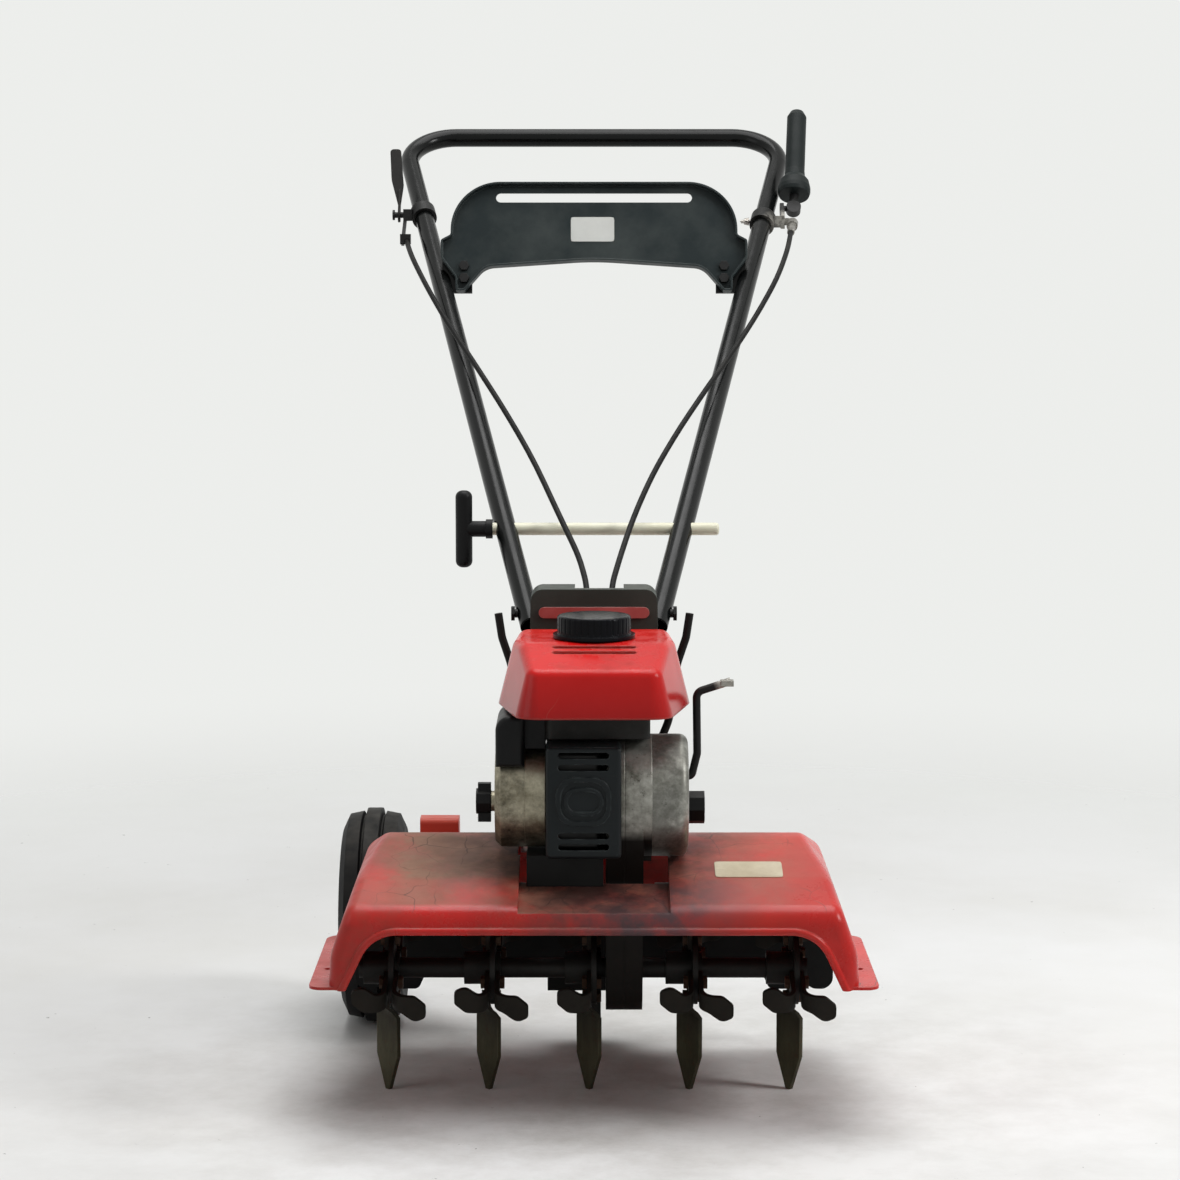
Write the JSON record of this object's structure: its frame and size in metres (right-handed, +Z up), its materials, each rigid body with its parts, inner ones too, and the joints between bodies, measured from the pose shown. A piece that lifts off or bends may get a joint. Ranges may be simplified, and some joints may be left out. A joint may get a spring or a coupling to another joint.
{
  "type": "garden tiller",
  "caption": "Walk-behind garden tiller: engine over a red fender, chain-driven rotor of twisted and bent blades, tube handlebar with control levers, and a transport wheel.",
  "frame": {"origin": "on the ground, in the middle of the outer box", "axes": "+Z up, -Y towards the machine's front, +X towards the chain case"},
  "size_m": [0.6, 1.2878, 1.1179],
  "materials": {
    "red_paint": "worn gloss red",
    "black_paint": "gloss black",
    "cast_aluminium": "stained cast",
    "steel": "dull",
    "worn_steel": "soil-worn",
    "cast_iron": "dark",
    "rubber": "matte",
    "tyre": "matte",
    "black_plastic": "satin",
    "ivory_paint": "satin ivory"
  },
  "bodies": {
    "chassis": {"air_cleaner": "black_plastic", "blower_housing": "cast_aluminium", "carburettor": "cast_aluminium", "chain_case_left": "red_paint", "chain_case_right": "red_paint", "column_cover": "black_plastic", "cooling_shroud": "black_plastic", "cover_strip": "red_paint", "crankcase": "cast_aluminium", "cylinder": "cast_aluminium", "drive_chain": "steel", "drum_cover": "cast_aluminium", "engine_frame": "black_paint", "fender": "red_paint", "fuel_tank": "black_plastic", "guard_bar": "black_paint", "hood": "red_paint", "mast": "black_paint", "muffler": "cast_iron", "muffler_guard": "black_paint", "pivot_bolt": "steel", "rear_flap": "rubber", "recoil_cover": "cast_aluminium", "rotor_bearings": "steel", "spark_plug": "steel"},
    "rotor": {"tine_shaft": "steel", "rotor_sprocket": "steel", "tine_hubs": "steel", "tine_bolts": "steel", "tine_blades_1": "worn_steel", "tine_blades_2": "worn_steel", "tine_blades_3": "worn_steel", "tine_blades_4": "worn_steel", "tine_blades_5": "worn_steel"},
    "drive": {"clutch_drum": "steel"},
    "crank": {"crankshaft": "steel", "flywheel": "cast_iron", "clutch_shoes": "steel"},
    "wheel": {"tyre": "tyre", "wheel_rim": "steel"},
    "arm": {"wheel_arm": "red_paint", "axle_bolt": "steel"},
    "stake": {"drag_stake": "steel"},
    "handlebar": {"handlebar_tube": "black_paint", "console_panel": "black_plastic", "panel_bolts": "steel", "throttle_bracket": "black_paint", "throttle_cable": "rubber", "clutch_bracket": "steel", "clutch_cable": "rubber"},
    "throttle": {"throttle_lever": "black_paint"},
    "clutch": {"clutch_lever": "steel", "clutch_grip": "rubber"},
    "tie": {"tie_rod": "ivory_paint", "t_handle": "black_plastic"},
    "shift": {"shift_lever": "black_paint"},
    "fuel_cap": {"fuel_cap": "black_plastic"},
    "oil_cap": {"oil_cap": "black_plastic"},
    "stop_switch": {"stop_switch": "black_plastic"}
  },
  "joints": [
    {"name": "rotor_spin", "type": "hinge", "parent": "chassis", "child": "rotor", "pos_m": [0, -0.46875, 0.137], "axis": [1, 0, 0], "continuous": true},
    {"name": "drive_spin", "type": "hinge", "parent": "chassis", "child": "drive", "pos_m": [0.033, -0.51875, 0.34014], "axis": [1, 0, 0], "continuous": true},
    {"name": "crank_spin", "type": "hinge", "parent": "chassis", "child": "crank", "pos_m": [0, -0.51875, 0.34014], "axis": [1, 0, 0], "continuous": true},
    {"name": "arm_lift", "type": "hinge", "parent": "chassis", "child": "arm", "pos_m": [-0.18, -0.26275, 0.214], "axis": [1, 0, 0], "range_deg": [0, 40]},
    {"name": "wheel_spin", "type": "hinge", "parent": "arm", "child": "wheel", "pos_m": [-0.2635, -0.15875, 0.128], "axis": [1, 0, 0], "continuous": true},
    {"name": "stake_slide", "type": "slide", "parent": "chassis", "child": "stake", "axis": [0, 0, 1], "range_m": [0, 0.09]},
    {"name": "handlebar_tilt", "type": "hinge", "parent": "chassis", "child": "handlebar", "pos_m": [0, -0.28675, 0.509], "axis": [1, 0, 0], "range_deg": [-10, 12]},
    {"name": "throttle_swing", "type": "hinge", "parent": "handlebar", "child": "throttle", "pos_m": [-0.23438, 0.45316, 0.97003], "axis": [1, 0, 0], "range_deg": [-20, 40]},
    {"name": "clutch_swing", "type": "hinge", "parent": "handlebar", "child": "clutch", "pos_m": [0.275, 0.46447, 0.97888], "axis": [1, 0, 0], "range_deg": [-8, 20], "stiffness_Nm_per_rad": 6},
    {"name": "tie_turn", "type": "hinge", "parent": "handlebar", "child": "tie", "pos_m": [0, -0.15089, 0.59366], "axis": [1, 0, 0], "continuous": true},
    {"name": "shift_swing", "type": "hinge", "parent": "chassis", "child": "shift", "pos_m": [0.111, -0.49875, 0.35713], "axis": [1, 0, 0], "range_deg": [-15, 15]},
    {"name": "fuel_cap_turn", "type": "hinge", "parent": "chassis", "child": "fuel_cap", "pos_m": [0, -0.48875, 0.51014], "axis": [0, 0, 1], "continuous": true},
    {"name": "oil_cap_turn", "type": "hinge", "parent": "chassis", "child": "oil_cap", "pos_m": [0.11, -0.49075, 0.32114], "axis": [1, 0, 0], "continuous": true},
    {"name": "stop_switch_turn", "type": "hinge", "parent": "chassis", "child": "stop_switch", "pos_m": [-0.119, -0.51875, 0.33314], "axis": [1, 0, 0], "range_deg": [0, 60]}
  ],
  "couplings": [
    {"joint": "drive_spin", "follows": "rotor_spin", "ratio": 1.6}
  ]
}
